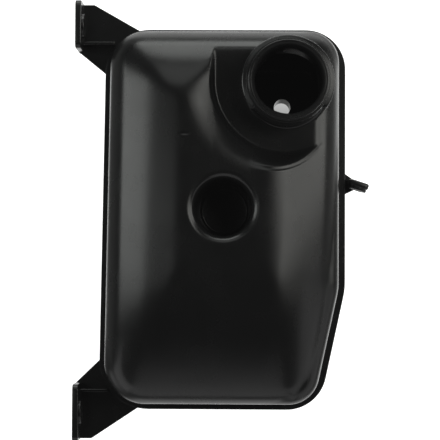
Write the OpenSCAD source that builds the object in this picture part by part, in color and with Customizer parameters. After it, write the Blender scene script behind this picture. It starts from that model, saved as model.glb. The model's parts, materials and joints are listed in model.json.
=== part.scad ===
// Coolant expansion tank: two injection-moulded shells, hot-plate welded at a flange round the middle.
// +X is the ear side, -X the foot side, +Y the filler end, +Z up. The shells are drawn about the middle of
// the weld plane and moved once, at the end, to the bolt holes of the feet.

/* [Tank body] */
// Length of the weld flange, front to back
tank_l = 257; // [235:1:290]
// Width of the weld flange, side to side
tank_w = 166; // [152:0.5:190]
// Distance that the left side comes in at the back
left_in = 3.6; // [0:0.2:6]
// Thickness of the moulded walls
wall = 3; // [2.4:0.1:3.6]
// Draft of the side walls, in degrees
draft = 3; // [1:0.5:5]
// Height of the upper shell's upright wall above the weld plane
upper_wall_h = 36; // [28:1:46]
// Depth of the lower shell below the weld plane
tub_depth = 70; // [56:1:90]
// Rounding between the side walls and the roof or the floor
edge_r = 13; // [10:0.5:16]
// Corner radius of the flange, back left
corner_bl = 30; // [20:1:34]
// Corner radius of the flange, back right
corner_br = 27; // [18:1:30]
// Corner radius of the flange, front left
corner_fl = 33; // [20:1:36]
// Corner radius of the flange, front right
corner_fr = 27; // [18:1:34]
// Length of the leaning part of the right side, measured from the front
bevel_l = 81; // [60:1:100]
// Distance that the leaning part comes in at the front
bevel_in = 17.5; // [8:0.5:24]
// Corner radius where the right side starts to lean
bevel_r = 50; // [30:1:70]

/* [Roof] */
// Rise of the roof from the rounded edge to the crown
roof_rise = 23; // [19:1:27]
// Width of the roof's slope along the left side
slope_left = 52; // [40:1:56]
// Width of the roof's slope along the right side
slope_right = 50; // [40:1:56]
// Width of the roof's slope at the back
slope_back = 50; // [42:1:60]
// Width of the roof's slope at the front
slope_front = 96; // [70:1:100]

/* [Weld flange] */
// Width of the flange outside the walls
flange_w = 4.6; // [4:0.1:7]
// Thickness of each shell's lip
lip_t = 3.2; // [2.5:0.1:4]
// Half the height of the flash groove between the two lips
groove_h = 0.45; // [0.3:0.05:0.8]
// Depth of the flash groove, from the outer edge
groove_w = 2; // [1:0.1:3]

/* [Cap seat] */
// Depth of the sunken seat's floor below the crown
seat_depth = 11.5; // [9:0.5:13]
// Radius of the seat's floor
seat_r = 46; // [44:0.5:49]
// Distance of the seat's centre from the neck's axis, towards the left
seat_off_left = 1; // [0:0.5:2]
// Distance of the seat's centre from the neck's axis, towards the back
seat_off_back = 3; // [0:0.5:4]
// Steepness of the seat's side, in degrees
seat_steep = 50; // [42:1:60]
// Rounding of the seat's rim at the crown
seat_rim_r = 20; // [8:1:24]

/* [Filler neck] */
// Distance of the neck's axis from the flange's right edge
neck_from_right = 41; // [39:0.5:46]
// Distance of the neck's axis from the flange's back edge
neck_from_back = 45; // [41:0.5:50]
// Height of the neck above the seat
neck_h = 31.5; // [26:0.5:38]
// Diameter of the neck's bore
neck_bore = 42.4; // [38:0.2:44]
// Diameter of the neck's outside, under its thread
neck_od = 53; // [50:0.5:54]
// Height of the thinner rim above the thread
neck_rim_h = 5; // [3:0.5:7]
// Diameter of the rim
neck_rim_od = 50; // [47:0.5:50]
// Height of the thread's crest above the neck's outside
thread_h = 2.8; // [1.5:0.1:3]
// Pitch of the thread
thread_pitch = 7; // [6:0.5:8]
// Length of each row of the thread, in degrees; the rest of the turn is the vent gap
thread_turn = 257; // [180:1:300]
// Direction in which the thread starts, in degrees from the right
thread_start = 219; // [150:1:270]
// Rows of the thread, one under the other
thread_rows = 2; // [1:1:2]

/* [Tie well] */
// Distance of the well's axis to the right of the middle
well_x = 1.5; // [-4:0.5:3]
// Distance of the well's axis behind the middle
well_y = 5; // [-4:0.5:6]
// Diameter of the well's mouth
well_d = 36.8; // [32:0.2:38]
// Taper of the well, in degrees a side
well_taper = 2; // [1:0.5:3]
// Rounding of the well's lip
well_lip_r = 5.2; // [4:0.2:6]

/* [Hose stubs] */
// Diameter of the outlet's bore
outlet_bore = 12; // [9:0.5:13]
// Diameter of the outlet's outside
outlet_od = 17; // [16:0.5:19]
// Length of the outlet below the floor
outlet_l = 24; // [18:1:32]
// Distance of the return stub's axis to the left of the middle
return_x = 40; // [34:1:44]
// Distance of the return stub's axis in front of the middle
return_y = 84; // [70:1:88]
// Diameter of the return stub's bore
return_bore = 6; // [4.5:0.5:7]
// Diameter of the return stub's outside
return_od = 10; // [9.5:0.5:12]
// Length of the return stub below the floor
return_l = 20; // [15:1:26]
// Height of the hose beads above the stubs' outsides
bead_h = 0.9; // [0.5:0.1:1.2]
// Length of the beads' straight land
bead_land = 2; // [1:0.5:3]
// Distance of the land from the stub's end
bead_in = 4; // [3:0.5:5]

/* [Feet] */
// Distance of the mounting face from the flange's left edge
foot_reach = 16; // [14:0.5:24]
// Distance of each bolt hole beyond the flange's end
foot_hole_out = 1.5; // [0:0.5:6]
// Length of the back foot's plate, centred on its bolt hole
foot_back_l = 32.5; // [29:0.5:36]
// Length of the front foot's plate, centred on its bolt hole
foot_front_l = 38; // [31:0.5:40]
// Thickness of the foot plates
foot_t = 4; // [3:0.1:5]
// Rounding of the foot plates' corners
foot_corner_r = 4; // [2:0.5:5]
// Width of each foot's web at its outer end
web_shoulder = 7; // [4:0.5:10]
// Height of the rib on each foot's web above the weld plane
foot_rib_h = 8; // [5:0.5:12]
// Height of the foot plates above the weld plane
foot_rise = 20; // [18:0.5:26]
// Depth of the foot plates below the weld plane
foot_drop = 14; // [10:0.5:18]
// Diameter of the bolt holes
foot_hole_d = 9; // [7:0.1:9.4]
// Height of the bolt holes above the weld plane
foot_hole_z = 9.5; // [9:0.5:10]
// Diameter of the boss round each bolt hole
foot_boss_d = 16; // [15:0.5:17]
// Height of the boss above the foot plate
foot_boss_h = 1.5; // [1:0.1:2.5]
// Thickness of the webs that carry the feet and the ear
web_t = 2.8; // [2:0.1:3.2]
// Thickness of the stiffening ribs
rib_t = 1.8; // [1.5:0.1:3]

/* [Ear] */
// Distance of the ear's root behind the middle
ear_y = 26; // [10:0.5:36]
// Distance that the ear stands out from the flange
ear_reach = 15; // [13:0.5:20]
// Lean of the ear towards the front, in degrees
ear_lean = 18; // [0:1:25]
// Thickness of the ear's plate
ear_t = 4; // [3:0.1:5]
// Height of the ear's plate above the weld plane
ear_rise = 14; // [13:0.5:18]
// Depth of the ear's plate below the weld plane
ear_drop = 9; // [6:0.5:12]
// Diameter of the ear's hole
ear_hole_d = 7; // [5:0.1:7.4]
// Distance of the ear's hole from the plate's end and top
ear_hole_in = 6.5; // [6:0.1:7]
// Diameter of the boss round the ear's hole
ear_boss_d = 12; // [10:0.5:12.5]
// Height of the boss above the plate's front face
ear_boss_h = 2; // [1:0.1:3]
// Spread of the ear's web along the flange, each way
ear_spread = 8.2; // [7:0.1:12]
// Length of the ear's web
ear_web_l = 8.5; // [7:0.5:11]

/* [Hidden] */
plastic = "#1b1c1d";

// Finish of curves and meshes
round_fn = 96;
arc_steps = 8;
fillet_steps = 5;
eps = 0.01;

// Gap between the feet or the ear and the upper shell's lip beside them
lip_clear = 0.5;

// Section of the thread at its root and crest, how far it sinks into the neck, and its cuts
thread_root = 4.2;
thread_crest = 1.8;
thread_sink = 0.6;
thread_steps = 36;

// Direction in which the outer edge of a foot's web meets the flange's round corner, in degrees
web_outer_turn = 102;

// Height of the flare where the neck stands on its seat
neck_foot = 2;

// Gap between the neck's rim and the first row of its thread
thread_clear = 0.5;

// Height over which a bore or a well is cut past the surface that it opens in
cut_past = 1;

// Fillet where a hose stub leaves the floor, slope of the bead's inner side and rounding of the stub's nose
stub_fillet = 3;
bead_slope = 1.5;
nose_r = 1;

// Key levels
crown_z = upper_wall_h + edge_r + roof_rise;
seat_z = crown_z - seat_depth;
mouth_z = seat_z + neck_h;

// Plan positions
half_l = tank_l / 2;
half_w = tank_w / 2;
neck_at = [half_w - neck_from_right, half_l - neck_from_back];
seat_at = neck_at + [-seat_off_left, seat_off_back];
well_at = [well_x, well_y];
return_at = [-return_x, -return_y];
face_x = -half_w - foot_reach;
hole_y = half_l + foot_hole_out;

// The flange's plan: its sharp corners, their radii and the directions that its sides face, each
// list counter-clockwise
bevel_turn = atan(bevel_in / bevel_l);
left_turn = atan(left_in / tank_l);
corners = [
    [half_w, half_l],
    [left_in - half_w, half_l],
    [-half_w, -half_l],
    [half_w - bevel_in, -half_l],
    [half_w, bevel_l - half_l]
];
radii = [corner_br, corner_bl, corner_fl, corner_fr, bevel_r];
facing = [0, 90, 180 - left_turn, 270, 360 - bevel_turn, 360];
slopes = [slope_right, slope_back, slope_left, slope_front, slope_right];
edge_cuts = [10, 9, 13, 7, 5];

function dir(a) = [cos(a), sin(a)];
function corner_centre(i, r) =
    let (n0 = dir(facing[i]), n1 = dir(facing[i + 1]))
    corners[i] - r / (1 + n0 * n1) * (n0 + n1);

// The side wall leans in by the draft as it leaves the weld plane
function lean(h) = flange_w + h * tan(draft);

// The flange's outline moved in by an inset: corner arcs joined by evenly cut straights
function corner_arc(i, inset) = [
    for (k = [0:arc_steps])
        corner_centre(i, radii[i]) + (radii[i] - inset)
            * dir(facing[i] + (facing[i + 1] - facing[i]) * k / arc_steps)
];
function outline(inset) = [
    for (i = [0:4])
        let (arc = corner_arc(i, inset), next = corner_arc((i + 1) % 5, inset)[0], n = edge_cuts[(i + 1) % 5])
        each concat(arc, [for (k = [1:n - 1]) arc[arc_steps] + (next - arc[arc_steps]) * k / n])
];

// Distance of a plan point inside side i, and inside the whole outline with its round corners
function side_dist(p, i, inset) = (corners[i] - p) * dir(facing[i]) - inset;
function corner_dist(p, i, inset) =
    let (
        v = p - corner_centre(i, radii[i]),
        in_turn = v * dir(facing[i] + 90) > 0 && v * dir(facing[i + 1] - 90) > 0
    )
    in_turn ? radii[i] - inset - norm(v)
            : min(side_dist(p, i, inset), side_dist(p, (i + 1) % 5, inset));
function edge_dist(p, inset) = min([for (i = [0:4]) corner_dist(p, i, inset)]);

// Height gained over the rounded edge at distance d inside it
function edge_rise(d, r) = sqrt(r * r - pow(r - min(max(d, 0), r), 2));

// Share of the roof's rise at a plan point: each side slopes up over its own width and the hips between
// them are softened by adding the slopes' remainders as fourth powers
function roof_share(p) =
    let (
        left_over = [
            for (i = [0:4])
                max(0, 1 - side_dist(p, i, lean(upper_wall_h)) / slopes[i])
        ],
        u = pow([for (q = left_over) pow(q, 4)] * [1, 1, 1, 1, 1], 1 / 4)
    )
    1 - pow(min(u, 1), 2);

// Height of the roof, outside (t = 0) or inside the wall (t = wall)
function roof_z(p, t) =
    upper_wall_h + edge_rise(edge_dist(p, lean(upper_wall_h) + t), edge_r - t) + roof_rise * roof_share(p);
function floor_z(p, t) =
    -(tub_depth - edge_r + edge_rise(edge_dist(p, lean(tub_depth - edge_r) + t), edge_r - t));

// Closed mesh through rings of equal point counts; a fan about its mean point closes each end ring
function flat(rings) = [for (ring = rings) each ring];
function mean(ring) = [for (p = ring) 1] * ring / len(ring);
module loft(rings) {
    n = len(rings[0]);
    last = (len(rings) - 1) * n;
    low_hub = len(rings) * n;
    high_hub = low_hub + 1;
    polyhedron(
        points = concat(flat(rings), [mean(rings[0]), mean(rings[len(rings) - 1])]),
        faces = [
            for (i = [0:n - 1]) [i, (i + 1) % n, low_hub],
            for (r = [0:len(rings) - 2], i = [0:n - 1])
                let (a = r * n + i, b = r * n + (i + 1) % n)
                each [[a, b + n, b], [a, a + n, b + n]],
            for (i = [0:n - 1]) [last + (i + 1) % n, last + i, high_hub]
        ]
    );
}
function at_z(ring, z) = [for (p = ring) [p[0], p[1], z]];

// Point on the way from p to the middle that lies a distance d inside the outline, found in a few tries
function inward(p, d, inset, tries = 9) =
    let (v = well_at - p, q = p + (d - edge_dist(p, inset)) * v / norm(v))
    tries == 0 ? p : inward(q, d, inset, tries - 1);
function towards_middle(p, share) = p + (well_at - p) * share;

// The roof or the floor as a height over the plan: rounded edge first, then rings closing on the middle
core_shares = [0.08, 0.18, 0.29, 0.4, 0.51, 0.62, 0.73, 0.9];

module upper_body(t) {
    inset = lean(upper_wall_h) + t;
    top = outline(inset);
    r = edge_r - t;
    edge_rings = [
        for (k = [1:fillet_steps])
            [for (p = top) inward(p, r * (1 - cos(90 * k / fillet_steps)), inset)]
    ];
    inner = edge_rings[fillet_steps - 1];
    roof_rings = [for (s = core_shares) [for (p = inner) towards_middle(p, s)]];
    base_z = t > 0 ? -eps : 0;
    loft(concat(
        [at_z(outline(lean(0) + t), base_z), at_z(top, upper_wall_h)],
        [for (ring = concat(edge_rings, roof_rings)) [for (p = ring) [p[0], p[1], roof_z(p, t)]]]
    ));
}

module lower_body(t) {
    wall_h = tub_depth - edge_r;
    inset = lean(wall_h) + t;
    low = outline(inset);
    r = edge_r - t;
    edge_rings = [
        for (k = [1:fillet_steps])
            [for (p = low) inward(p, r * (1 - cos(90 * k / fillet_steps)), inset)]
    ];
    base_z = t > 0 ? -eps : 0;
    mirror([0, 0, 1]) loft(concat(
        [at_z(outline(lean(0) + t), base_z), at_z(low, wall_h)],
        [for (ring = edge_rings) [for (p = ring) [p[0], p[1], -floor_z(p, t)]]]
    ));
}

// Seat round the neck, as the space above it: flat floor, steep side and a rim rounded at the crown.
// It is open to the back and the right, where the roof's edge comes down to the floor's level.
module seat_space(t) {
    rise = crown_z - seat_z;
    rim_in = seat_rim_r * tan(seat_steep / 2);
    foot_r = seat_r + t * tan(seat_steep / 2);
    rim_r = foot_r + rise / tan(seat_steep);
    out_r = rim_r + rim_in + wall;
    top = 2 * crown_z;
    reach = tank_l;
    profile = concat(
        [[0, seat_z - t], [foot_r, seat_z - t]],
        [
            for (k = [0:arc_steps])
                let (a = seat_steep * (1 - k / arc_steps))
                [rim_r + rim_in - seat_rim_r * sin(a) + t * sin(a),
                 crown_z - seat_rim_r * (1 - cos(a)) - t * cos(a)]
        ],
        [[out_r, crown_z - t], [out_r, top], [0, top]]
    );
    translate([seat_at[0], seat_at[1], 0]) {
        rotate_extrude($fn = round_fn) polygon(profile);
        translate([0, reach, 0]) rotate([90, 0, 0]) linear_extrude(reach) {
            polygon(profile);
            mirror([1, 0]) polygon(profile);
        }
    }
    translate([seat_at[0], seat_at[1], seat_z - t]) cube([tank_w, reach, crown_z]);
}

// Tie well: a tapered blind well from the crown, or from below, to the weld plane
function well_r(depth) = well_d / 2 - depth * tan(well_taper);
module well_space(mouth_z, depth) {
    arc = [
        for (k = [0:arc_steps])
            let (a = 90 * k / arc_steps)
            [well_r(0) + well_lip_r * (1 - cos(a)), mouth_z - well_lip_r * (1 - sin(a))]
    ];
    translate([well_at[0], well_at[1], 0])
        rotate_extrude($fn = round_fn)
            polygon(concat(
                [[0, mouth_z - depth], [well_r(depth - well_lip_r), mouth_z - depth]],
                arc,
                [[well_r(0) + well_lip_r, mouth_z + edge_r], [0, mouth_z + edge_r]]
            ));
}
module well_body(mouth_z, depth) {
    translate([well_at[0], well_at[1], mouth_z - depth])
        cylinder(h = depth + cut_past, r1 = well_r(depth) + wall, r2 = well_r(0) + wall, $fn = round_fn);
    translate([well_at[0], well_at[1], mouth_z - well_lip_r])
        cylinder(
            h = well_lip_r + cut_past,
            r1 = well_r(0) + wall,
            r2 = well_r(0) + well_lip_r + wall,
            $fn = round_fn
        );
}

// One row of the neck's thread: a trapezoid swept down a right-hand helix, with blunt ramps at its ends
module thread_row(start_z) {
    root = neck_od / 2 - thread_sink;
    rings = [
        for (k = [0:thread_steps])
            let (
                turned = thread_turn * k / thread_steps,
                a = thread_start - turned,
                ramp = min(1, (1 + 2 * min(k, thread_steps - k)) / 3),
                crest = root + (thread_h + thread_sink) * ramp,
                z = start_z - thread_pitch * turned / 360
            )
            [
                for (q = [[root, -thread_root / 2], [crest, -thread_crest / 2],
                          [crest, thread_crest / 2], [root, thread_root / 2]])
                    [neck_at[0] + q[0] * cos(a), neck_at[1] + q[0] * sin(a), z + q[1]]
            ]
    ];
    loft(rings);
}

module neck_body() {
    translate([neck_at[0], neck_at[1], 0]) {
        translate([0, 0, upper_wall_h])
            cylinder(h = mouth_z - neck_rim_h - upper_wall_h, d = neck_od, $fn = round_fn);
        translate([0, 0, upper_wall_h])
            cylinder(h = mouth_z - upper_wall_h, d = neck_rim_od, $fn = round_fn);
        translate([0, 0, seat_z - wall])
            cylinder(
                h = wall + neck_foot,
                d1 = neck_od + 2 * (wall + neck_foot),
                d2 = neck_od,
                $fn = round_fn
            );
    }
    for (row = [0:thread_rows - 1])
        thread_row(mouth_z - neck_rim_h - thread_clear - thread_root / 2 - thread_pitch * row);
}

// Lip of one shell, flat on the weld plane, with the flash groove cut back from its outer edge
module lip(cut_in) {
    difference() {
        linear_extrude(lip_t) polygon(outline(0));
        translate([0, 0, -cut_past]) linear_extrude(lip_t + 2 * cut_past) polygon(outline(cut_in));
        translate([0, 0, -cut_past]) linear_extrude(groove_h + cut_past) difference() {
            polygon(outline(-cut_past));
            polygon(outline(groove_w));
        }
    }
}

module upper_shell() {
    color(plastic) difference() {
        union() {
            difference() {
                upper_body(0);
                seat_space(0);
            }
            lip(flange_w + wall / 2);
            neck_body();
        }
        difference() {
            upper_body(wall);
            seat_space(wall);
            well_body(crown_z, crown_z);
        }
        well_space(crown_z, crown_z - wall);
        translate([neck_at[0], neck_at[1], seat_z - 2 * wall])
            cylinder(h = mouth_z, d = neck_bore, $fn = round_fn);
    }
}

// Hose stub hanging from the floor, with a bead and a tapered nose
module stub(at, len, od) {
    translate([at[0], at[1], -tub_depth]) mirror([0, 0, 1]) rotate_extrude($fn = round_fn) polygon([
        [0, -wall],
        [od / 2 + stub_fillet, -wall],
        [od / 2 + stub_fillet, 0],
        [od / 2, stub_fillet],
        [od / 2, len - bead_in - bead_land - bead_slope],
        [od / 2 + bead_h, len - bead_in - bead_land],
        [od / 2 + bead_h, len - bead_in],
        [od / 2, len - nose_r],
        [od / 2 - nose_r, len],
        [0, len]
    ]);
}
module stub_bore(at, len, bore) {
    translate([at[0], at[1], -tub_depth - len - cut_past])
        cylinder(h = len + 2 * wall + cut_past, d = bore, $fn = round_fn);
}

// Rectangle between two corners, with rounded corners of its own
function round_rect(low, high, r) = [
    for (q = [0:3], k = [0:6])
        let (
            c = [q == 0 || q == 3 ? high[0] - r : low[0] + r, q < 2 ? high[1] - r : low[1] + r],
            a = 90 * q + 15 * k
        )
        c + r * dir(a)
];

// Foot at corner i of the flange: plate on the mounting face, web to the flange's round corner, rib and
// bolt boss. It is made at the back, and mirrored in front.
module foot(i, plate_l) {
    end_y = hole_y + plate_l / 2;
    in_y = hole_y - plate_l / 2;
    plate_x = face_x + foot_t;
    r = radii[i];
    centre = [corner_centre(i, r)[0], abs(corner_centre(i, r)[1])];
    outer_root = centre + r * dir(web_outer_turn);
    rib_y = in_y + foot_corner_r;
    rib_end = centre[0] - sqrt(pow(r, 2) - pow(max(rib_y - centre[1], 0), 2)) - lip_clear;
    difference() {
        union() {
            translate([face_x, 0, 0]) rotate([90, 0, 90]) linear_extrude(foot_t)
                polygon(round_rect([in_y, -foot_drop], [end_y, foot_rise], foot_corner_r));
            translate([0, 0, -web_t - groove_h]) linear_extrude(web_t) polygon([
                [face_x, in_y],
                [face_x, end_y],
                [plate_x + web_shoulder, end_y],
                outer_root,
                centre,
                [centre[0] - r, centre[1]]
            ]);
            translate([0, rib_y + rib_t, 0]) rotate([90, 0, 0]) linear_extrude(rib_t) polygon([
                [face_x + foot_t / 2, foot_rib_h],
                [rib_end, foot_rib_h],
                [rib_end, -foot_drop + foot_corner_r],
                [face_x + foot_t / 2, -foot_drop + foot_corner_r]
            ]);
            translate([plate_x - eps, hole_y, foot_hole_z]) rotate([0, 90, 0])
                cylinder(h = foot_boss_h + eps, d = foot_boss_d, $fn = round_fn);
        }
        translate([face_x - cut_past, hole_y, foot_hole_z]) rotate([0, 90, 0])
            cylinder(h = foot_t + foot_boss_h + 2 * cut_past, d = foot_hole_d, $fn = round_fn);
    }
}

// Ear: upright plate leaning towards the front, with a boss round its hole, on a short web at the flange
module ear() {
    plate_l = ear_reach / cos(ear_lean);
    web_y = -ear_web_l * tan(ear_lean);
    root_y = -ear_reach * tan(ear_lean) / 3;
    hole_at = [plate_l - ear_hole_in, ear_rise - ear_hole_in];
    translate([half_w, ear_y, 0]) {
        translate([0, 0, -web_t - groove_h]) linear_extrude(web_t) polygon([
            [-groove_w, root_y + ear_spread],
            [ear_web_l, web_y + ear_t / 2],
            [ear_web_l, web_y - ear_t / 2],
            [-groove_w, root_y - ear_spread]
        ]);
        rotate([90, 0, -ear_lean]) difference() {
            union() {
                translate([0, 0, -ear_t / 2]) linear_extrude(ear_t) polygon([
                    [2 * lip_clear, lip_t],
                    [ear_hole_d / 2, ear_rise],
                    [plate_l, ear_rise],
                    [plate_l, -lip_t],
                    [lip_clear, -ear_drop],
                    [-flange_w - wall / 2, -ear_drop],
                    [-flange_w - wall / 2, -lip_t],
                    [2 * lip_clear, -lip_t]
                ]);
                translate([hole_at[0], hole_at[1], 0])
                    cylinder(h = ear_t / 2 + ear_boss_h, d = ear_boss_d, $fn = round_fn);
            }
            translate([hole_at[0], hole_at[1], -ear_t])
                cylinder(h = 2 * ear_t + ear_boss_h, d = ear_hole_d, $fn = round_fn);
        }
    }
}

module lower_shell() {
    color(plastic) difference() {
        union() {
            lower_body(0);
            mirror([0, 0, 1]) lip(flange_w + wall / 2);
            foot(1, foot_back_l);
            mirror([0, 1, 0]) foot(2, foot_front_l);
            ear();
            stub(neck_at, outlet_l, outlet_od);
            stub(return_at, return_l, return_od);
        }
        difference() {
            lower_body(wall);
            mirror([0, 0, 1]) well_body(tub_depth, tub_depth);
        }
        mirror([0, 0, 1]) well_space(tub_depth, tub_depth - wall);
        stub_bore(neck_at, outlet_l, outlet_bore);
        stub_bore(return_at, return_l, return_bore);
    }
}

// The part's origin is midway between the two bolt holes, on the feet's mounting face
module from_feet() {
    translate([-face_x, 0, -foot_hole_z]) children();
}

from_feet() upper_shell();
from_feet() lower_shell();
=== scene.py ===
import json
import math

import bpy
import numpy as np
from mathutils import Euler, Matrix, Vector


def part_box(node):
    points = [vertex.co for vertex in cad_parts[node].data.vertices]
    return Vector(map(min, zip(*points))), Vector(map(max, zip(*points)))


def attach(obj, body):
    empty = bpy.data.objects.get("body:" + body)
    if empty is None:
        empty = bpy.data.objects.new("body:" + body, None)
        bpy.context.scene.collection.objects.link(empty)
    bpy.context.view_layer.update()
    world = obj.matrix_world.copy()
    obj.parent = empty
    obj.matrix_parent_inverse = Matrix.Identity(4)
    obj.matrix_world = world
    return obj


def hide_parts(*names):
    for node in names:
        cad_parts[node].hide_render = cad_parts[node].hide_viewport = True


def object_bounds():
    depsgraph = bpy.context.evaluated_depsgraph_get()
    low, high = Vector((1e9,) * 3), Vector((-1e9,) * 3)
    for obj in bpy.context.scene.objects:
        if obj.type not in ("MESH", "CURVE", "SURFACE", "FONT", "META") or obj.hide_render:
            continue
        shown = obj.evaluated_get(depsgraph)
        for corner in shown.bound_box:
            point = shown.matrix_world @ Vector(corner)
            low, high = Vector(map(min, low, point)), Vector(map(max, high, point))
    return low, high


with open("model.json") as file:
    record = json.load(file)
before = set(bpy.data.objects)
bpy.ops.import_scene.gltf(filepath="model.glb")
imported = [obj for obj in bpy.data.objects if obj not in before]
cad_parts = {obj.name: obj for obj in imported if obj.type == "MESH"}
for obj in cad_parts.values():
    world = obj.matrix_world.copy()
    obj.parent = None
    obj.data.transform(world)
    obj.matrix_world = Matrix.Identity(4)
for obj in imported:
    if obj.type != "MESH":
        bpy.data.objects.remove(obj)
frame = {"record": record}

cad_low, cad_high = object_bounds()
mounts = {mount["name"]: mount for mount in frame["record"]["mounts"]}

# Camera: a metre above the weld plane and almost square to it. Its place, turn and lens come from fitting the
# flange's outline, the feet, the neck's mouth and the outlet seen through it, at their real sizes.
camera_data = bpy.data.cameras.new("camera")
camera_data.sensor_width = 36
camera_data.lens = 120.6
camera = bpy.data.objects.new("camera", camera_data)
camera_turn = Euler([math.radians(turn) for turn in (1.99, 0.91, 0.24)], "ZYX")
camera.matrix_world = Matrix.Translation((0.1133, -0.0354, 0.9905)) @ camera_turn.to_matrix().to_4x4()
bpy.context.scene.collection.objects.link(camera)
bpy.context.scene.camera = camera

# Lower shell: the tub of the tank, one injection moulding in black plastic with its lip, feet, ear and stubs.
# Its lip is melted on a hot plate and pressed against the upper shell's. Lengths are in millimetres about the
# middle of the weld plane; side walls lean in by their draft.
upper_box = np.array(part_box("upper_shell"))
lower_box = np.array(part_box("lower_shell"))
half_w = 83.0
half_l = (upper_box[1] - upper_box[0])[1] * 500
weld_middle = np.array([upper_box[1, 0] - half_w / 1000, upper_box[:, 1].mean(), upper_box[0, 2]])
wall = 3.0
draft = 3.0
flange_w = 4.6
lip_t = 3.2
groove_h = 0.45
groove_w = 2.0
edge_r = 13.0
tub_depth = 70.0
bevel_l = 81.0
bevel_in = 17.5
left_in = 3.6
corners = np.array([
    [half_w, half_l],
    [left_in - half_w, half_l],
    [-half_w, -half_l],
    [half_w - bevel_in, -half_l],
    [half_w, bevel_l - half_l],
])
radii = np.array([27.0, 30.0, 33.0, 27.0, 50.0])
left_turn, bevel_turn = np.degrees(np.arctan([left_in / (2 * half_l), bevel_in / bevel_l]))
facing = np.array([0, 90, 180 - left_turn, 270, 360 - bevel_turn, 360])
arc_cuts = 16
straight_cut = 1.7
sharp_turn = math.radians(32)


def from_mount(name):
    """Place of a mount in millimetres about the middle of the weld plane."""
    return (np.array(mounts[name]["pos_m"]) - weld_middle) * 1000


def direction(degrees):
    """Unit vectors in plan at these angles, counter-clockwise from the right."""
    angle = np.radians(degrees)
    return np.stack([np.cos(angle), np.sin(angle)], -1)


side_normals = direction(facing)
arc_centres = corners - (radii / (1 + (side_normals[:-1] * side_normals[1:]).sum(1)))[:, None] * (
    side_normals[:-1] + side_normals[1:])


def lean(height):
    """Inset of the outer wall at a height off the weld plane: the flange's width plus the draft."""
    return flange_w + height * math.tan(math.radians(draft))


def plan_ring(inset):
    """The flange's outline moved in by an inset: round each corner an arc of its radius less the inset, and
    between arcs a straight cut into equal parts."""
    turn = np.linspace(facing[:-1], facing[1:], arc_cuts + 1, axis=1)
    arcs = arc_centres[:, None] + (radii - inset)[:, None, None] * direction(turn)
    nexts = np.roll(arcs[:, 0], -1, 0)
    runs = np.linalg.norm(np.roll(arc_centres, -1, 0) - arc_centres, axis=1)
    parts = []
    for arc, end, run in zip(arcs, nexts, runs):
        share = np.linspace(0, 1, int(run / straight_cut) + 2)[1:-1, None]
        parts += [arc, arc[-1] + (end - arc[-1]) * share]
    return np.concatenate(parts)


def side_distance(p, inset):
    """Distance of plan points inside each of the five sides, less the inset."""
    return ((corners - p[..., None, :]) * side_normals[:-1]).sum(-1) - inset


def edge_distance(p, inset):
    """Distance of plan points inside the outline: to the nearest side, or within a corner to its arc."""
    side = side_distance(p, inset)
    reach = p[..., None, :] - arc_centres
    past_first = (reach * direction(facing[:-1] + 90)).sum(-1) > 0
    before_next = (reach * direction(facing[1:] - 90)).sum(-1) > 0
    turned = radii - inset - np.linalg.norm(reach, axis=-1)
    return np.where(past_first & before_next, turned, np.minimum(side, np.roll(side, -1, -1))).min(-1)


def edge_rise(distance, r):
    """Height gained over the rounded edge: a quarter circle of radius r, then level."""
    return np.sqrt(np.maximum(r * r - (r - np.clip(distance, 0, r)) ** 2, 0))


def moved_inward(p, distance, inset):
    """The points moved towards the well until each lies the given distance inside the outline."""
    for _ in range(12):
        way = well_at - p
        p = p + (distance - edge_distance(p, inset))[:, None] * way / np.linalg.norm(way, axis=1)[:, None]
    return p


def lifted(plan, height):
    """Plan points with a height each."""
    height = np.broadcast_to(np.asarray(height, float), plan.shape[:-1])
    return np.concatenate([plan, height[..., None]], -1)


def arc_points(centre, r, start, end, count):
    """Points of a circular arc in a profile plane, from one angle to another."""
    return np.asarray(centre) + r * direction(np.linspace(start, end, count))


def wall_rings(profile):
    """A profile of (inset, height) points carried round the flange's outline."""
    return np.stack([lifted(plan_ring(inset), height) for inset, height in profile])


def turned_rings(profile, centre, angles):
    """A profile of (radius, height) points turned about an upright axis, at the given angles."""
    plan = centre + profile[:, None, :1] * direction(angles)
    return lifted(plan, profile[:, 1:])


def spokes(outer, inner, shares):
    """Rings of plan points on straight spokes from an outer ring to an inner one."""
    return outer + (inner - outer) * np.asarray(shares)[:, None, None]


def angles_about(centre, points):
    """Directions of plan points from a centre, in degrees."""
    way = points - centre
    return np.degrees(np.arctan2(way[..., 1], way[..., 0]))


def arc_between(ring, first, last):
    """The points of a closed ring from one index on to another, past its end if need be."""
    return np.take(ring, np.arange(first, last + 1 + (len(ring) if last < first else 0)), axis=0, mode="wrap")


def nearest(ring, point):
    """Index of the ring's point nearest to a plan point."""
    return int(np.argmin(np.linalg.norm(ring - np.asarray(point), axis=1)))


def joined(grids):
    """Points and faces of one closed surface from grids of rings. Each quad joins two neighbours on a ring
    with the same two on the next; equal points become one, and a quad with two equal corners a triangle."""
    points, quads, start = [], [], 0
    for rings in grids:
        index = start + np.arange(rings.shape[0] * rings.shape[1]).reshape(rings.shape[:2])
        low, high = index[:-1], index[1:]
        quads.append(np.stack([low, np.roll(low, -1, 1), np.roll(high, -1, 1), high], -1).reshape(-1, 4))
        points.append(rings.reshape(-1, 3))
        start += index.size
    points, quads = np.concatenate(points), np.concatenate(quads)
    _, first, where = np.unique(np.round(points, 5), axis=0, return_index=True, return_inverse=True)
    points, quads = points[first], where.reshape(-1)[quads]
    same = quads == np.roll(quads, -1, 1)
    whole = quads[same.sum(1) == 0]
    tapered = quads[same.sum(1) == 1]
    corner = np.argmax(tapered == np.roll(tapered, -1, 1), axis=1)
    kept = (corner[:, None] + np.array([1, 2, 3])) % 4
    return points, whole.tolist() + np.take_along_axis(tapered, kept, 1).tolist()


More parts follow.
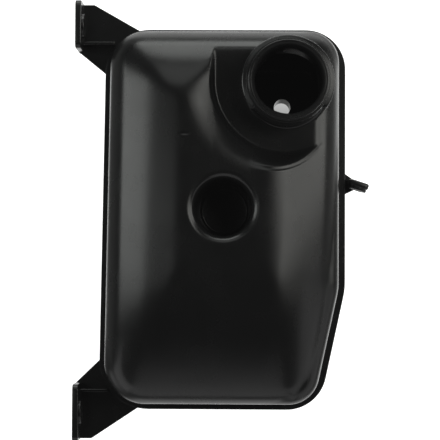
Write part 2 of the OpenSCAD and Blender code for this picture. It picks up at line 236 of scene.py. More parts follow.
def made_piece(name, points, faces):
    """A mesh object in the frame's own place and metres, shaded smooth but where its faces meet sharply."""
    mesh = bpy.data.meshes.new(name)
    mesh.from_pydata(points * 0.001 + weld_middle, [], faces)
    mesh.validate()
    piece = bpy.data.objects.new(name, mesh)
    bpy.context.scene.collection.objects.link(piece)
    bpy.ops.object.select_all(action="DESELECT")
    bpy.context.view_layer.objects.active = piece
    piece.select_set(True)
    bpy.ops.object.shade_smooth_by_angle(angle=sharp_turn)
    return piece


neck_at = from_mount("filler_neck")[:2]
outlet_at = from_mount("outlet")[:2]
return_at = from_mount("return_stub")[:2]
well_at = np.array([1.5, 5.0])
well_d = 36.8
well_taper = 2.0
well_lip_r = 5.2
outlet_od, outlet_bore, outlet_l = 17.0, 12.0, 24.0
return_od, return_bore, return_l = 10.0, 6.0, 20.0
stub_fillet = 3.0
mouth_chamfer = 0.5
outlet_zone_y, return_zone_y = 48.0, -46.0


def well_radius(depth):
    """Radius of the tie well at a depth below its mouth."""
    return well_d / 2 - depth * math.tan(math.radians(well_taper))


def well_profile(mouth, floor, t):
    """Profile of the tie well from its lip down to its closed floor, inside (t = 0) or outside its wall."""
    lip = arc_points((well_radius(0) + well_lip_r, mouth - well_lip_r), well_lip_r - t, 90, 180, 10)
    corner_r = 1.5 if t == 0 else 0.5
    low = floor - t
    foot_r = well_radius(mouth - floor) + t
    foot = arc_points((foot_r - corner_r, low + corner_r), corner_r, 0, -90, 7)
    return np.concatenate([lip, foot, [[foot_r / 2, low], [0, low]]])


def lip_profile(wall_h):
    """Profile of the weld face, the flash groove, the lip with its rounded edges and the wall above it."""
    return np.concatenate([
        [[flange_w + wall, 0], [groove_w, 0], [groove_w, groove_h]],
        arc_points((0.2, groove_h + 0.2), 0.2, 270, 180, 4),
        arc_points((0.3, lip_t - 0.3), 0.3, 180, 90, 5),
        [[0.4, lip_t], [lean(lip_t) - 0.6, lip_t]],
        arc_points((lean(lip_t) - 0.5, lip_t + 0.5), 0.5, 270, 360, 5),
        [[lean(wall_h), wall_h]],
    ])


def shell_band(wall_h, t, height_over):
    """One shell's band from the weld face up its wall and over its rounded edge, outside or inside."""
    top = plan_ring(lean(wall_h))
    over = [
        moved_inward(top, t + (edge_r - t) * (1 - math.cos(math.radians(turn))), lean(wall_h))
        for turn in np.linspace(0, 90, 13 if t == 0 else 6)
    ]
    profile = lip_profile(wall_h)[:-1] if t == 0 else [(lean(0) + t, 0)]
    rounded = np.stack([lifted(plan, height_over(plan, t)) for plan in over])
    return np.concatenate([wall_rings(profile), rounded]), over[-1]


def floor_height(plan, t):
    """Height of the tub's bottom, counted downwards: its wall's height plus the rounded edge."""
    wall_h = tub_depth - edge_r
    return wall_h + edge_rise(edge_distance(plan, lean(wall_h) + t), edge_r - t)


def stub_profile(od, length):
    """Profile of a hose stub from the floor to its end: fillet, barrel, bead and rounded nose."""
    end = tub_depth + length
    bead = np.array([[0, -7.5], [0.25, -7.2], [0.75, -6.4], [0.9, -6], [0.9, -4], [0.7, -3.4], [0, -1]])
    return np.concatenate([
        arc_points((od / 2 + stub_fillet, tub_depth + stub_fillet), stub_fillet, 270, 180, 6),
        bead + [od / 2, end],
        arc_points((od / 2 - 1, end - 1), 1, 15, 90, 5),
    ])


def bored(profile, bore, floor):
    """A stub's profile carried on round its end, into the bore and back up to the inner floor."""
    end = profile[-1, 1]
    return np.concatenate([
        profile,
        [[bore / 2 + mouth_chamfer, end], [bore / 2, end - mouth_chamfer], [bore / 2, floor]],
    ])


def lower_zones(ring, t):
    """The floor in three zones about centres of their own: outlet behind, well midway, return in front."""
    cuts = (outlet_zone_y, return_zone_y)
    ends = [(nearest(ring, (half_w, cut)), nearest(ring, (-half_w, cut))) for cut in cuts]
    lines = [np.linspace(ring[right], ring[left], 90) for right, left in ends]
    (back_right, back_left), (front_right, front_left) = ends
    back = np.concatenate([arc_between(ring, back_right, back_left), lines[0][::-1][1:-1]])
    middle = np.concatenate([
        arc_between(ring, back_left, front_left), lines[1][::-1][1:-1],
        arc_between(ring, front_right, back_right), lines[0][1:-1],
    ])
    front = np.concatenate([arc_between(ring, front_left, front_right), lines[1][1:-1]])
    shares = np.linspace(0, 1, 9 if t == 0 else 4)
    inner_floor = tub_depth - wall
    zones = []
    for boundary, centre, r, profile in (
        (back, outlet_at, outlet_od / 2 + stub_fillet,
         bored(stub_profile(outlet_od, outlet_l), outlet_bore, inner_floor)),
        (front, return_at, return_od / 2 + stub_fillet,
         bored(stub_profile(return_od, return_l), return_bore, inner_floor)),
        (middle, well_at, well_radius(0) + well_lip_r, well_profile(tub_depth, wall, t)),
    ):
        angles = angles_about(centre, boundary)
        if t > 0 and centre is not well_at:
            profile = profile[-1:]
            r = profile[0, 0]
        inner = centre + r * direction(angles)
        flat = lifted(spokes(boundary, inner, shares), tub_depth - t)
        zones.append(np.concatenate([flat[:-1], turned_rings(profile, centre, angles)]))
    return zones


lower_grids = []
for t in (0, wall):
    band, ring = shell_band(tub_depth - edge_r, t, floor_height)
    grids = [band, *lower_zones(ring, t)]
    lower_grids += grids if t == 0 else [rings[::-1] for rings in grids]
lower_points, lower_faces = joined([rings[::-1] * [1, 1, -1] for rings in lower_grids])
lower_shell = made_piece("lower_moulding", lower_points, lower_faces)

# Feet and ear: moulded in one with the lower shell's lip. Each foot is an upright plate on a flat web, with a
# rib and a boss round its bolt hole; the ear is a leaning plate with a boss round its hole, on a short web.
face_x = (lower_box[0, 0] - weld_middle[0]) * 1000
bolt_z = from_mount("feet")[2]
bolt_y = mounts["feet"]["dims"]["spacing_x_mm"] / 2
foot_back_l = 32.5
foot_front_l = 38.0
foot_t = 4.0
foot_rise = 20.0
foot_drop = 14.0
foot_corner_r = 4.0
foot_boss_r = 8.0
foot_boss_h = 1.5
foot_rib_h = 8.0
web_t = 2.8
web_shoulder = 7.0
rib_t = 1.8
lip_clear = 0.5
ear_at = np.array([half_w, 26.0])
ear_lean = 18.0
ear_reach = 15.0
ear_t = 4.0
ear_rise = 14.0
ear_drop = 9.0
ear_spread = 8.2
ear_web_l = 8.5
ear_boss_r = 6.0
ear_boss_h = 2.0
ear_hole_in = 6.5
across, along, upward = np.eye(3)


def rounded_outline(points, rounding, cuts=6):
    """A closed outline, counter-clockwise, with an arc of its own radius at each corner, which bulges at a
    convex corner and hollows at an inner one."""
    p, r = np.asarray(points, float), np.broadcast_to(np.asarray(rounding, float), len(points))
    run = np.roll(p, -1, 0) - p
    run /= np.linalg.norm(run, axis=1)[:, None]
    after = np.stack([run[:, 1], -run[:, 0]], -1)
    before = np.roll(after, 1, 0)
    turn = np.arctan2(before[:, 0] * after[:, 1] - before[:, 1] * after[:, 0], (before * after).sum(1))
    bulge = np.sign(turn) * r
    centres = p - (bulge / (1 + (before * after).sum(1)))[:, None] * (before + after)
    start = np.arctan2(before[:, 1], before[:, 0])
    angles = np.degrees(start[:, None] + turn[:, None] * np.linspace(0, 1, cuts))
    return (centres[:, None] + bulge[:, None, None] * direction(angles)).reshape(-1, 2)


def slab(outline, low, high, edge, axes, origin=(0, 0, 0)):
    """Points and faces of a plate: the outline carried from one height to another along the third axis and
    drawn in over the rounded edges at both faces, which are flat."""
    run = np.roll(outline, -1, 0) - outline
    after = np.stack([run[:, 1], -run[:, 0]], -1) / np.linalg.norm(run, axis=1)[:, None]
    before = np.roll(after, 1, 0)
    draw_in = (before + after) / (1 + (before * after).sum(1))[:, None]
    profile = np.concatenate([
        [[edge + 0.1, low]],
        arc_points((edge, low + edge), edge, 270, 180, 4),
        arc_points((edge, high - edge), edge, 180, 90, 4),
        [[edge + 0.1, high]],
    ])
    rings = outline - profile[:, None, :1] * draw_in
    local = lifted(rings, profile[:, 1:])
    count, around = local.shape[:2]
    index = np.arange(count * around).reshape(count, around)
    low_ring, high_ring = index[:-1], index[1:]
    quads = np.stack([low_ring, np.roll(low_ring, -1, 1), np.roll(high_ring, -1, 1), high_ring], -1)
    faces = quads.reshape(-1, 4).tolist() + [index[0, ::-1].tolist(), index[-1].tolist()]
    return local.reshape(-1, 3) @ np.array(axes, float) + np.array(origin, float), faces


def circle(centre, r, count=72):
    """A circle as a closed outline."""
    return np.asarray(centre) + r * direction(np.arange(count) * 360 / count)


def combined(piece, parts, operation):
    """The piece joined with, or cut by, closed parts; the result is one closed mesh."""
    for points, faces in parts:
        tool = made_piece("tool", points, faces)
        change = piece.modifiers.new("change", "BOOLEAN")
        change.operation = operation
        change.solver = "MANIFOLD"
        change.object = tool
        bpy.context.view_layer.objects.active = piece
        bpy.ops.object.modifier_apply(modifier=change.name)
        bpy.data.objects.remove(tool)


def foot(side, corner, plate_l):
    """Plate, web, rib and boss of one foot, at the back (side 1) or mirrored in front (side -1)."""
    plate_x = face_x + foot_t
    in_y, end_y = bolt_y - plate_l / 2, bolt_y + plate_l / 2
    r = radii[corner]
    centre = np.abs(arc_centres[corner]) * [-1, 1]
    rib_y = in_y + 4
    rib_end = centre[0] - math.sqrt(r ** 2 - max(rib_y - centre[1], 0) ** 2) - lip_clear
    plate = rounded_outline(
        [[in_y, -foot_drop], [end_y, -foot_drop], [end_y, foot_rise], [in_y, foot_rise]], foot_corner_r)
    web = rounded_outline([
        [face_x + 0.2, end_y - 0.2],
        [face_x + 0.2, in_y + 0.2],
        [centre[0] - r, centre[1]],
        *(centre + (r - flange_w - 0.9) * direction([180, 141, 102])),
        centre + r * direction(102),
        [plate_x + web_shoulder, end_y - 0.2],
    ], [0.6, 0.6, 0.6, 0.3, 0.3, 0.3, 0.6, 2])
    rib = rounded_outline([
        [face_x + foot_t / 2, foot_rib_h],
        [face_x + foot_t / 2, -foot_drop + 4],
        [rib_end, -foot_drop + 4],
        [rib_end, foot_rib_h],
    ], 0.5)
    mirror = np.array([1, side])
    return [
        slab((plate * mirror[::-1])[::side], face_x, plate_x, 0.6, (along, upward, across)),
        slab((web * mirror)[::side], -web_t - groove_h, -groove_h, 0.3, (across, along, upward)),
        slab(rib, -rib_t / 2, rib_t / 2, 0.3, (across, upward, -along), (0, side * (rib_y + rib_t / 2), 0)),
        slab(circle((side * bolt_y, bolt_z), foot_boss_r), plate_x - 1, plate_x + foot_boss_h, 0.5,
             (along, upward, across)),
    ]


def ear():
    """Web, leaning plate and boss of the ear, and its hole."""
    slant = math.tan(math.radians(ear_lean))
    plate_l = ear_reach / math.cos(math.radians(ear_lean))
    way = np.append(direction(-ear_lean), 0)
    web = rounded_outline([
        [-groove_w, -ear_reach * slant / 3 + ear_spread],
        [-groove_w, -ear_reach * slant / 3 - ear_spread],
        [ear_web_l, -ear_web_l * slant - ear_t / 2],
        [ear_web_l, -ear_web_l * slant + ear_t / 2],
    ], 0.5)
    plate = rounded_outline([
        [2 * lip_clear, lip_t],
        [2 * lip_clear, -lip_t],
        [-flange_w - wall / 2, -lip_t],
        [-flange_w - wall / 2, -ear_drop],
        [lip_clear, -ear_drop],
        [plate_l, -lip_t],
        [plate_l, ear_rise],
        [3.5, ear_rise],
    ], [1.2, 0.2, 0.2, 0.2, 1.2, 1.2, 2.5, 1.2])
    hole_at = (plate_l - ear_hole_in, ear_rise - ear_hole_in)
    hole = circle(hole_at, mounts["ear"]["dims"]["r_mm"])
    origin = np.append(ear_at, 0)
    axes = (way, upward, np.cross(way, upward))
    return [
        slab(web, -web_t - groove_h, -groove_h, 0.4, (across, along, upward), origin),
        slab(plate, -ear_t / 2, ear_t / 2, 1.0, axes, origin),
        slab(circle(hole_at, ear_boss_r), 0, ear_t / 2 + ear_boss_h, 0.5, axes, origin),
    ], slab(hole, -ear_t, 2 * ear_t, 0.01, axes, origin)


ear_parts, ear_hole = ear()
combined(lower_shell, foot(1, 1, foot_back_l) + foot(-1, 2, foot_front_l) + ear_parts, "UNION")
bolt_holes = [
    slab(circle((y, bolt_z), mounts["feet"]["dims"]["hole_r_mm"]), face_x - 1, face_x + 9, 0.01,
         (along, upward, across))
    for y in (bolt_y, -bolt_y)
]
combined(lower_shell, [*bolt_holes, ear_hole], "DIFFERENCE")
bpy.context.view_layer.objects.active = lower_shell
lower_shell.select_set(True)
bpy.ops.object.shade_smooth_by_angle(angle=sharp_turn)


def moulded_black(name, seed):
    """Black moulded plastic: near-black colour that drifts a little with the melt's flow, satin gloss that
    varies in patches, fine grain from the mould and faint wipe marks."""
    material = bpy.data.materials.new(name)
    material.use_nodes = True
    nodes, links = material.node_tree.nodes, material.node_tree.links
    shader = nodes["Principled BSDF"]
    place = nodes.new("ShaderNodeTexCoord")
    shader.inputs["IOR"].default_value = 1.5

    def noise(scale, detail, stretch=(1, 1, 1)):
        """Noise over the object's own coordinates, shifted by the seed and squeezed along each axis."""
        turned = nodes.new("ShaderNodeMapping")
        turned.inputs["Location"].default_value = (seed, seed, 0)
        turned.inputs["Scale"].default_value = stretch
        made = nodes.new("ShaderNodeTexNoise")
        made.inputs["Scale"].default_value = scale
        made.inputs["Detail"].default_value = detail
        links.new(place.outputs["Object"], turned.inputs["Vector"])
        links.new(turned.outputs["Vector"], made.inputs["Vector"])
        return made.outputs["Fac"]

    def ramp(value, low, high):
        """A noise's middle range, 0.3 to 0.7, carried in proportion to the range from low to high."""
        made = nodes.new("ShaderNodeMapRange")
        made.inputs["From Min"].default_value = 0.3
        made.inputs["From Max"].default_value = 0.7
        made.inputs["To Min"].default_value = low
        made.inputs["To Max"].default_value = high
        links.new(value, made.inputs["Value"])
        return made.outputs["Result"]

    colour = nodes.new("ShaderNodeMix")
    colour.data_type = "RGBA"
    colour.inputs["A"].default_value = (0.0055, 0.0056, 0.0057, 1)
    colour.inputs["B"].default_value = (0.0085, 0.0086, 0.0088, 1)
    links.new(noise(30, 3), colour.inputs["Factor"])
    links.new(colour.outputs["Result"], shader.inputs["Base Color"])
    gloss = nodes.new("ShaderNodeMath")
    gloss.operation = "ADD"
    links.new(ramp(noise(45, 4), 0.23, 0.28), gloss.inputs[0])
    links.new(ramp(noise(25, 4, (8, 1, 1)), 0.0, 0.015), gloss.inputs[1])
    links.new(gloss.outputs["Value"], shader.inputs["Roughness"])
    grain = nodes.new("ShaderNodeBump")
    grain.inputs["Strength"].default_value = 0.12
    grain.inputs["Distance"].default_value = 0.00006
    links.new(noise(1400, 2), grain.inputs["Height"])
    links.new(grain.outputs["Normal"], shader.inputs["Normal"])
    return material


lower_shell.data.materials.clear()
lower_shell.data.materials.append(moulded_black("lower_black", 1.7))
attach(lower_shell, "root")
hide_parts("lower_shell")

# Upper shell: roof and side walls, cap seat, threaded filler neck and the upper half of the tie well, one
# moulding in the same plastic, welded on the lower shell. The roof slopes up from all sides to a level crown.
upper_wall_h = 36.0
roof_rise = 23.0
crown_z = upper_wall_h + edge_r + roof_rise
slope_widths = np.array([50.0, 50.0, 52.0, 96.0, 50.0])
seat_depth = 11.5
seat_z = crown_z - seat_depth
seat_at = neck_at + [-1.0, 3.0]
seat_r = 46.0
seat_slope = math.tan(math.radians(50))
seat_left_slope = 3.4
seat_roll_slope = 0.55
seat_roll_h = 5.6
seat_roll_blend = 2.5
seat_fillet = 1.6
seat_rim_run = 18.0
furrow_from, furrow_full = 18.0, 32.0
furrow_over, furrow_half, furrow_depth = 2.8, 2.0, 0.35
mouth_z = (upper_box[1, 2] - weld_middle[2]) * 1000
bore_r = mounts["filler_neck"]["dims"]["r_mm"]
neck_r = 26.5
rim_r = 25.0
rim_h = 5.0
thread_h = 2.8
thread_pitch = 7.0
thread_turn = 257.0
thread_start = 219.0
thread_rows = 2
rim_gap, ridge_reach = 0.5, 2.1
split_r = 64.5
split_turn = -115.0
split_inset = 19
split_right_y, split_left_y = 25, 63


def softer_max(a, b, blend):
    """The larger of two heights, rounded by a quadratic blend where they differ by less than blend."""
    return np.maximum(a, b) + np.maximum(blend - np.abs(a - b), 0) ** 2 / (4 * blend)


def softer_min(a, b, blend):
    """The smaller of two heights, rounded where they meet in the same way."""
    return np.minimum(a, b) - np.maximum(blend - np.abs(a - b), 0) ** 2 / (4 * blend)


def slope_height(plan, t):
    """Height of the roof without its seat: the wall's height, the rounded edge, and the rise shared out by
    how far the point lies inside each side. What is left of each slope is added as a fourth power, which
    softens the hips."""
    left_over = np.maximum(0, 1 - side_distance(plan, lean(upper_wall_h)) / slope_widths)
    u = np.minimum((left_over ** 4).sum(-1) ** 0.25, 1)
    edge = edge_rise(edge_distance(plan, lean(upper_wall_h) + t), edge_r - t)
    return upper_wall_h + edge + roof_rise * (1 - u ** 2)


def seat_distance(plan, t):
    """Distance of plan points outside the seat's floor: beyond its arc in front, beyond its straight side to
    the left at the back, and less than nothing towards the right at the back, where the seat is open."""
    way = plan - seat_at
    outside = np.where(way[..., 1] < 0, np.linalg.norm(way, axis=-1), -way[..., 0])
    return outside - seat_r - t * math.tan(math.radians(25))


def roof_height(plan, t):
    """Height of the roof with its sunken seat: the lower of the slope and the seat's side, which meets the
    floor in a small fillet and the slope in a rim whose rounding shrinks as the side dies out. On the left
    the outer surface rises steeply and then rolls over gently; on the right a furrow follows the rim."""
    slope = slope_height(plan, t)
    out = seat_distance(plan, t)
    to_left = np.clip((seat_at[0] - plan[..., 0]) / seat_r, 0, 1) ** 2 * (t == 0)
    to_right = np.clip((plan[..., 0] - furrow_from) / (furrow_full - furrow_from), 0, 1)
    rolled = softer_min(out * seat_left_slope, seat_roll_h + out * seat_roll_slope, seat_roll_blend)
    risen = out * seat_slope * (1 - to_left) + rolled * to_left
    side = softer_max(risen, 0, seat_fillet * (1 + to_left)) + seat_z - t
    furrow = np.clip(1 - ((side - slope - furrow_over) / furrow_half) ** 2, 0, 1) ** 2
    furrow = furrow * to_right * np.clip(out, 0, 1) * furrow_depth
    rim_share = 0.66 - 0.46 * to_right - 0.21 * to_left
    blend = seat_fillet + rim_share * np.clip(slope - seat_z + t, 0, seat_depth)
    return softer_min(slope, side, blend) - furrow


def crossing(height, origin, way, near, far, level):
    """Distance along rays from an origin at which a falling height comes down to a level, by halving."""
    low, high = np.full(len(way), float(near)), far.copy()
    for _ in range(30):
        middle = (low + high) / 2
        above = height(origin + middle[:, None] * way) > level
        low, high = np.where(above, middle, low), np.where(above, high, middle)
    return np.where(height(origin + far[:, None] * way) < level, (low + high) / 2, np.inf)


def seat_edge(boundary):
    """Where rays from the seat's centre to the boundary leave its flat floor: at the foot of its side, or
    where the roof comes down to the floor's level."""
    way = boundary - seat_at
    far = np.linalg.norm(way, axis=1)
    way = way / far[:, None]
    with np.errstate(divide="ignore"):
        straight = np.where(way[:, 0] < 0, seat_r / np.maximum(-way[:, 0], 1e-9), np.inf)
    foot_r = np.where(way[:, 1] < 0, seat_r, straight)
    open_r = crossing(lambda p: slope_height(p, 0), seat_at, way, 20, far, seat_z)
    return way, far, np.minimum(np.minimum(foot_r, open_r), far - 0.3)


def neck_profile():
    """Profile of the neck: foot fillet, outside with the rows of the thread, rim, lip with a shallow groove,
    lead-in and bore. Besides radius and height it gives each point's share of the thread's crest and of its
    climb."""
    row_z = mouth_z - rim_h - rim_gap - ridge_reach - thread_pitch * np.arange(thread_rows)[::-1]
    ridge = np.array([
        [-2.6, 0], [-2.15, 0.03], [-1.95, 0.14], [-1.2, 0.82], [-0.95, 0.95], [-0.65, 1], [0, 1],
        [0.2, 0.985], [0.55, 0.94], [0.85, 0.85], [1.05, 0.74], [1.2, 0.6], [1.6, 0], [2.5, 0],
    ])
    foot_points = arc_points((neck_r + 2, seat_z + 2), 2, 270, 180, 6)
    rows = np.concatenate([
        np.column_stack([np.full(len(ridge), neck_r), z + ridge[:, 0], ridge[:, 1], np.ones(len(ridge))])
        for z in row_z
    ])
    rim = np.concatenate([
        arc_points((neck_r - 0.2, mouth_z - rim_h - 0.2), 0.2, 0, 90, 4),
        arc_points((rim_r + 0.4, mouth_z - rim_h + 0.4), 0.4, 270, 180, 4),
        arc_points((rim_r - 0.6, mouth_z - 0.6), 0.6, 0, 90, 6),
        arc_points((bore_r + 2.1, mouth_z), 0.4, 0, -180, 7),
        [[bore_r + 0.95, mouth_z], [bore_r + 0.15, mouth_z - 1.4], [bore_r, mouth_z - 1.8],
         [bore_r, seat_z + 10], [bore_r, seat_z - 2.6]],
    ])
    plain = [np.column_stack([part, np.zeros((len(part), 2))]) for part in (foot_points, rim)]
    middle = np.array([[neck_r, seat_z + 5, 0, 0.6]])
    return np.concatenate([plain[0], middle, rows, plain[1]])


def neck_rings(angles):
    """The neck's profile turned about its axis; between its rows' ends the rings follow the thread's fall,
    and in the vent gap they climb back. The ridge swells to its crest within a few degrees of each blunt
    end."""
    radius, height, crest, climb = neck_profile().T[:, :, None]
    turned = (thread_start - angles) % 360
    in_gap = np.clip((turned - thread_turn) / (360 - thread_turn), 0, 1)
    fall = np.where(turned < thread_turn, turned, thread_turn * (1 - in_gap)) * thread_pitch / 360
    from_end = np.where(turned < thread_turn, np.minimum(turned, thread_turn - turned), 0)
    swell = np.clip(from_end / 3.5, 0, 1)
    r = radius + thread_h * crest * swell
    return lifted(neck_at + r[..., None] * direction(angles), height - fall * climb)


def upper_zones(ring, t):
    """The roof in two zones that share a dividing line: round the tie well in front, and round the seat and
    the neck behind. The line is an arc about the seat, carried on to the left along its tangent."""
    right = nearest(ring, (half_w - split_inset, split_right_y))
    left = nearest(ring, (-half_w + split_inset, split_left_y))
    ends = angles_about(seat_at, ring[[right, left]])
    turn = np.linspace(ends[0], ends[1], 150)
    past = np.maximum(split_turn - turn, 0)
    reach = split_r / np.cos(np.radians(past))
    gaps = np.linalg.norm(ring[[right, left]] - seat_at, axis=1) - reach[[0, -1]]
    reach = reach + np.interp(turn, [ends[1], split_turn, ends[0]], [gaps[1], 0, gaps[0]])
    line = seat_at + reach[:, None] * direction(turn)
    line[[0, -1]] = ring[[right, left]]
    front = np.concatenate([arc_between(ring, left, right), line[1:-1]])
    back = np.concatenate([arc_between(ring, right, left), line[::-1][1:-1]])

    lip = well_profile(crown_z, wall, t)
    angles = angles_about(well_at, front)
    plan = spokes(front, well_at + lip[0, 0] * direction(angles), np.linspace(0, 1, 34 if t == 0 else 12))
    well_zone = np.concatenate([lifted(plan, roof_height(plan, t))[:-1], turned_rings(lip, well_at, angles)])

    way, far, floor_r = seat_edge(back)
    angles = angles_about(neck_at, seat_at + floor_r[:, None] * way)
    side_run = np.concatenate([[0, 0.3, 0.6, 1.0, 1.5], np.arange(2.0, seat_rim_run, 0.5)])
    if t > 0:
        side_run = np.arange(0, seat_rim_run, 3.0)
    near_r = np.minimum(seat_rim_run / np.maximum(-way[:, 0], 0.5) ** (way[:, 1] > 0), 0.75 * (far - floor_r))
    past_side = np.linspace(0, 1, 12 if t == 0 else 6)[:, None]
    outer_r = np.concatenate([
        floor_r + side_run[:, None] / seat_rim_run * near_r,
        floor_r + near_r + past_side * (far - floor_r - near_r),
    ])[::-1]
    sloped = seat_at + outer_r[..., None] * way
    foot_r = neck_r + 2 if t == 0 else bore_r
    shares = [0.02, 0.05, 0.1, 0.2, 0.4, 0.6, 0.8, 1] if t == 0 else [0.3, 0.6, 1]
    level = spokes(sloped[-1], neck_at + foot_r * direction(angles), shares)
    plan = np.concatenate([sloped, level])
    heights = roof_height(plan, t)
    zone = lifted(plan, heights)
    neck = neck_rings(angles)
    neck[-1, :, 2] = seat_z - wall
    seat_zone = np.concatenate([zone[:-1], neck if t == 0 else neck[-1:]])
    return [well_zone, seat_zone]


upper_grids = []
for t in (0, wall):
    band, ring = shell_band(upper_wall_h, t, roof_height)
    grids = [band, *upper_zones(ring, t)]
    upper_grids += grids if t == 0 else [rings[::-1] for rings in grids]
upper_shell = made_piece("upper_moulding", *joined(upper_grids))
upper_black = moulded_black("upper_black", 4.3)
upper_shell.data.materials.append(upper_black)


def handling_mark(centre, size, dip):
    """Adds a faint dent to the roof's plastic: a smooth dip over an ellipse in plan, under the grain."""
    nodes, links = upper_black.node_tree.nodes, upper_black.node_tree.links
    moved, scaled, reach = [nodes.new("ShaderNodeVectorMath") for _ in range(3)]
    moved.operation, scaled.operation, reach.operation = "SUBTRACT", "DIVIDE", "LENGTH"
    moved.inputs[1].default_value = (*centre, 0)
    scaled.inputs[1].default_value = (*size, 100)
    depth = nodes.new("ShaderNodeMapRange")
    depth.interpolation_type = "SMOOTHSTEP"
    bump = nodes.new("ShaderNodeBump")
    bump.inputs["Distance"].default_value = dip
    links.new(nodes["Texture Coordinate"].outputs["Object"], moved.inputs[0])
    links.new(moved.outputs["Vector"], scaled.inputs[0])
    links.new(scaled.outputs["Vector"], reach.inputs[0])
    links.new(reach.outputs["Value"], depth.inputs["Value"])
    links.new(depth.outputs["Result"], bump.inputs["Height"])
    grain = nodes["Bump"]
    if grain.inputs["Normal"].is_linked:
        links.new(grain.inputs["Normal"].links[0].from_socket, bump.inputs["Normal"])
    links.new(bump.outputs["Normal"], grain.inputs["Normal"])


handling_mark((0.0761, 0.0517), (0.005, 0.0016), 0.0003)
handling_mark((0.146, 0.0035), (0.001, 0.009), 0.0001)
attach(upper_shell, "root")
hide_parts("upper_shell")

# Studio: the tank hangs over a pale lit floor that also glows. Its glow fades outside the picture, and under
# the tank glow and colour are cut down to a painted shadow of the tank. Soft boxes stand at the left, the
# right, the back and, weakly, in front and at its corners, with smaller ones above, in a room that is dark
# overhead. The view's blacks are lifted by a trace.
floor_drop = 0.25
floor_line = np.concatenate([[-6, -3], np.linspace(-1.2, 1.2, 241), [3, 6]])
floor_x, floor_y = np.meshgrid(floor_line, floor_line, indexing="ij")
floor_index = np.arange(floor_x.size).reshape(floor_x.shape)
floor_points = np.stack([floor_x, floor_y, np.full_like(floor_x, cad_low.z - floor_drop)], -1).reshape(-1, 3)
floor_quads = np.stack(
    [floor_index[:-1, :-1], floor_index[1:, :-1], floor_index[1:, 1:], floor_index[:-1, 1:]], -1)
floor_data = bpy.data.meshes.new("floor")
floor_data.from_pydata(floor_points, [], floor_quads.reshape(-1, 4).tolist())


def faded(value, full, none):
    """One up to the first distance and nothing from the second on, with an S-shaped fall between them."""
    share = np.clip((none - value) / (none - full), 0, 1)
    return share * share * (3 - 2 * share)


from_tank = floor_points - weld_middle
reach_x, reach_y = from_tank[:, 0], from_tank[:, 1]
# Painted shadow: the floor's glow, and with it the floor's colour, falls away in a soft box under the tank,
# standing in for the tank's shadow on the paper.
painted_tank_shadow = faded(np.abs(reach_x), 0.07, 0.1) * faded(np.abs(reach_y - 0.015), 0.06, 0.18)
glow_with_painted_shadow = faded(-reach_x, 0.219, 0.337) * faded(reach_x, 0.28, 0.6) * (1 - painted_tank_shadow)
glow_with_painted_shadow = glow_with_painted_shadow * (faded(np.abs(reach_y - 0.02), 0.21, 0.33) + faded(np.abs(reach_y), 0.8, 1.1)) / 2
floor_data.attributes.new("glow_with_painted_shadow", "FLOAT", "POINT").data.foreach_set("value", glow_with_painted_shadow.astype(np.float32))
floor = bpy.data.objects.new("floor", floor_data)
bpy.context.scene.collection.objects.link(floor)
paper = bpy.data.materials.new("paper")
paper.use_nodes = True
paper_nodes = paper.node_tree.nodes
paper_shader = paper_nodes["Principled BSDF"]
paper_shader.inputs["Roughness"].default_value = 0.9
paper_shader.inputs["Emission Color"].default_value = (1, 1, 1, 1)
paper_glow = paper_nodes.new("ShaderNodeAttribute")
paper_glow.attribute_name = "glow_with_painted_shadow"
# The floor's colour follows its glow, so the painted shadow under the tank darkens the colour as well as the
# glow.
paper_tone = paper_nodes.new("ShaderNodeMapRange")
paper_tone.inputs["To Min"].default_value = 0.2
paper_tone.inputs["To Max"].default_value = 0.6
paper.node_tree.links.new(paper_glow.outputs["Fac"], paper_shader.inputs["Emission Strength"])
paper.node_tree.links.new(paper_glow.outputs["Fac"], paper_tone.inputs["Value"])
paper.node_tree.links.new(paper_tone.outputs["Result"], paper_shader.inputs["Base Color"])
floor_data.materials.append(paper)

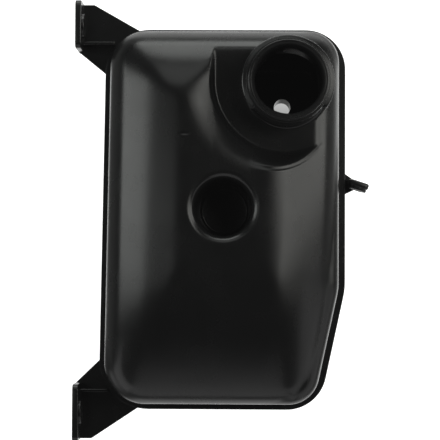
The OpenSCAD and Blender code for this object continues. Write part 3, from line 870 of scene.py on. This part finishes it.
world = bpy.data.worlds.new("studio")
world.use_nodes = True
bpy.context.scene.world = world
sky_nodes, sky_links = world.node_tree.nodes, world.node_tree.links
sky_place = sky_nodes.new("ShaderNodeTexCoord")
sky_parts = sky_nodes.new("ShaderNodeSeparateXYZ")
sky_ramp = sky_nodes.new("ShaderNodeMapRange")
sky_ramp.interpolation_type = "SMOOTHSTEP"
for socket, value in (("From Min", 0.0), ("From Max", 0.8), ("To Min", 0.45), ("To Max", 0.06)):
    sky_ramp.inputs[socket].default_value = value
sky_links.new(sky_place.outputs["Generated"], sky_parts.inputs["Vector"])
sky_links.new(sky_parts.outputs["Z"], sky_ramp.inputs["Value"])
sky_links.new(sky_ramp.outputs["Result"], sky_nodes["Background"].inputs["Strength"])


def soft_box(name, place, size, radiance, tint=(1, 1, 1)):
    """A soft box at a place, turned towards the tank. Its power is its radiance times pi times its area."""
    light = bpy.data.lights.new(name, "AREA")
    light.color = tint
    light.shape = "RECTANGLE"
    light.size, light.size_y = size
    light.energy = radiance * math.pi * size[0] * size[1]
    lamp = bpy.data.objects.new(name, light)
    centre = (cad_low + cad_high) / 2
    lamp.location = place
    lamp.rotation_euler = (centre - lamp.location).to_track_quat("-Z", "Y").to_euler()
    bpy.context.scene.collection.objects.link(lamp)


cool, warm = (0.97, 1.0, 0.97), (1.0, 1.0, 0.95)
soft_box("left_box", (-1.1, 0.2, 0.5), (0.54, 0.9), 2.8, cool)
soft_box("high_left_box", (-0.65, 0.06, 1.25), (0.3, 0.8), 0.75, cool)
soft_box("right_box", (1.18, 0.27, 0.62), (0.7, 1.7), 2.2, warm)
soft_box("high_right_box", (0.6, 0.25, 1.13), (0.4, 0.35), 1.8, warm)
soft_box("back_box", (0.1, 1.3, 0.22), (1.4, 0.8), 2.7, cool)
soft_box("high_back_box", (0.0, 0.9, 1.0), (0.9, 0.6), 0.8, cool)
soft_box("front_box", (0.0, -1.2, 0.4), (1.2, 1.2), 0.55)
soft_box("corner_left_box", (-0.85, -0.75, 0.12), (0.9, 0.75), 0.7)
soft_box("corner_right_box", (0.95, -0.65, 0.08), (1.2, 0.75), 0.5)
view = bpy.context.scene.view_settings
view.view_transform = "Standard"
view.use_curve_mapping = True
view.curve_mapping.black_level = (-0.003, -0.003, -0.003)
view.curve_mapping.update()
